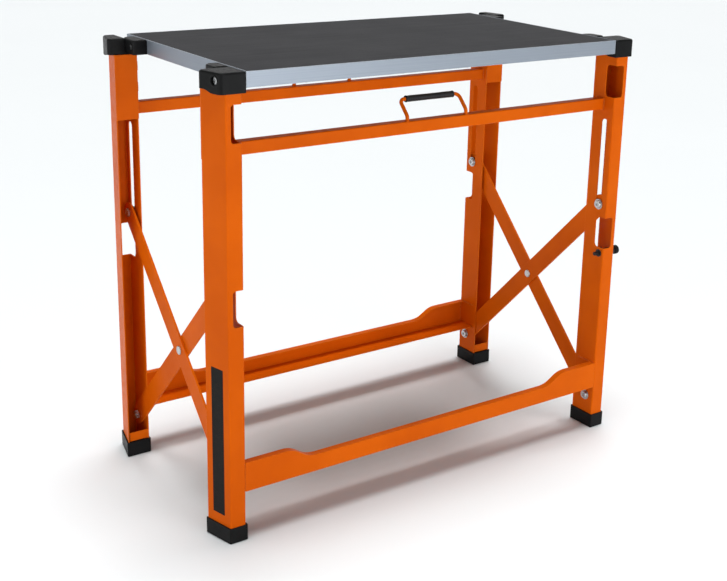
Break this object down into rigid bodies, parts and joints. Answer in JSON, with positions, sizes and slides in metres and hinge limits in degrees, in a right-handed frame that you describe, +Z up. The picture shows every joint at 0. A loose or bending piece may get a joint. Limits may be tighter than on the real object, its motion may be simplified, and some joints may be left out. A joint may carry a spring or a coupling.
{
  "type": "folding workbench",
  "caption": "Folding steel workbench: two channel-leg frames with crossed folding braces and a matted top that swings over to hang between the front legs.",
  "frame": {"origin": "on the floor, under the middle of the table top", "axes": "+X along the bench to the side with the plunger, +Y from the front frame to the rear frame, +Z up"},
  "size_m": [0.9556, 0.477, 0.85],
  "materials": {
    "orange_paint": "satin powder coat",
    "black_plastic": "moulded, fine texture",
    "black_rubber": "soft sleeve",
    "zinc": "zinc plated",
    "black_steel": "black oxide",
    "aluminium": "satin anodised extrusion",
    "board": "plain sheet board",
    "grey_mat": "fine-textured rubber mat"
  },
  "bodies": {
    "front_frame": {"front_left_leg": "orange_paint", "front_left_foot": "black_plastic", "front_left_cap": "black_plastic", "front_right_leg": "orange_paint", "front_right_foot": "black_plastic", "front_right_cap": "black_plastic", "front_leg_gussets": "orange_paint", "front_leg_ties": "orange_paint", "front_upper_rail": "orange_paint", "front_lower_stretcher": "orange_paint", "front_handle_rod": "orange_paint", "front_handle_grip": "black_rubber", "front_brace_bolts": "zinc", "top_pivot_bolts": "zinc", "plunger_barrel": "black_steel", "plunger_nut": "black_steel", "plunger_spring": "zinc"},
    "rear_frame": {"rear_left_leg": "orange_paint", "rear_left_foot": "black_plastic", "rear_left_cap": "black_plastic", "rear_right_leg": "orange_paint", "rear_right_foot": "black_plastic", "rear_right_cap": "black_plastic", "rear_leg_gussets": "orange_paint", "rear_leg_ties": "orange_paint", "rear_upper_rail": "orange_paint", "rear_lower_stretcher": "orange_paint", "rear_handle_rod": "orange_paint", "rear_handle_grip": "black_rubber", "rear_brace_bolts": "zinc"},
    "right_brace_a": {"right_brace_a": "orange_paint", "right_slot_pin_a": "zinc", "right_slot_bush_a": "black_plastic", "right_centre_rivet": "zinc"},
    "right_brace_b": {"right_brace_b": "orange_paint", "right_slot_pin_b": "zinc", "right_slot_bush_b": "black_plastic"},
    "left_brace_a": {"left_brace_a": "orange_paint", "left_slot_pin_a": "zinc", "left_slot_bush_a": "black_plastic", "left_centre_rivet": "zinc"},
    "left_brace_b": {"left_brace_b": "orange_paint", "left_slot_pin_b": "zinc", "left_slot_bush_b": "black_plastic"},
    "table_top": {"top_front_edge": "aluminium", "top_rear_edge": "aluminium", "top_left_edge": "aluminium", "top_right_edge": "aluminium", "top_board": "board", "top_mat": "grey_mat", "left_front_block": "black_plastic", "left_rear_block": "black_plastic", "right_front_block": "black_plastic", "right_rear_block": "black_plastic", "block_screws": "zinc", "rim_screws": "zinc", "pivot_bushes": "black_plastic"},
    "lock_plunger": {"plunger_pin": "black_steel", "plunger_knob": "black_plastic"}
  },
  "joints": [
    {"name": "fold", "type": "hinge", "parent": "front_frame", "child": "right_brace_a", "pos_m": [0.4345, -0.213, 0.07], "axis": [1, 0, 0], "range_deg": [0, 35.5]},
    {"name": "right_cross", "type": "hinge", "parent": "right_brace_a", "child": "right_brace_b", "pos_m": [0.432, 0, 0.2865], "axis": [1, 0, 0], "range_deg": [-71, 0]},
    {"name": "rear_foot_pivot", "type": "hinge", "parent": "right_brace_b", "child": "rear_frame", "pos_m": [0.43, 0.213, 0.07], "axis": [1, 0, 0], "range_deg": [0, 35.5]},
    {"name": "left_foot_pivot", "type": "hinge", "parent": "front_frame", "child": "left_brace_a", "pos_m": [-0.4345, -0.213, 0.07], "axis": [1, 0, 0], "range_deg": [0, 35.5]},
    {"name": "left_cross", "type": "hinge", "parent": "left_brace_a", "child": "left_brace_b", "pos_m": [-0.432, 0, 0.2865], "axis": [1, 0, 0], "range_deg": [-71, 0]},
    {"name": "top_swing", "type": "hinge", "parent": "front_frame", "child": "table_top", "pos_m": [0, -0.2225, 0.8365], "axis": [1, 0, 0], "range_deg": [0, 270]},
    {"name": "lock_pull", "type": "slide", "parent": "front_frame", "child": "lock_plunger", "axis": [1, 0, 0], "range_m": [0, 0.016], "stiffness_N_per_m": 350, "deforming": ["plunger_spring"]}
  ],
  "couplings": [
    {"joint": "right_cross", "follows": "fold", "ratio": -2},
    {"joint": "rear_foot_pivot", "follows": "fold", "ratio": 1},
    {"joint": "left_foot_pivot", "follows": "fold", "ratio": 1},
    {"joint": "left_cross", "follows": "fold", "ratio": -2}
  ]
}
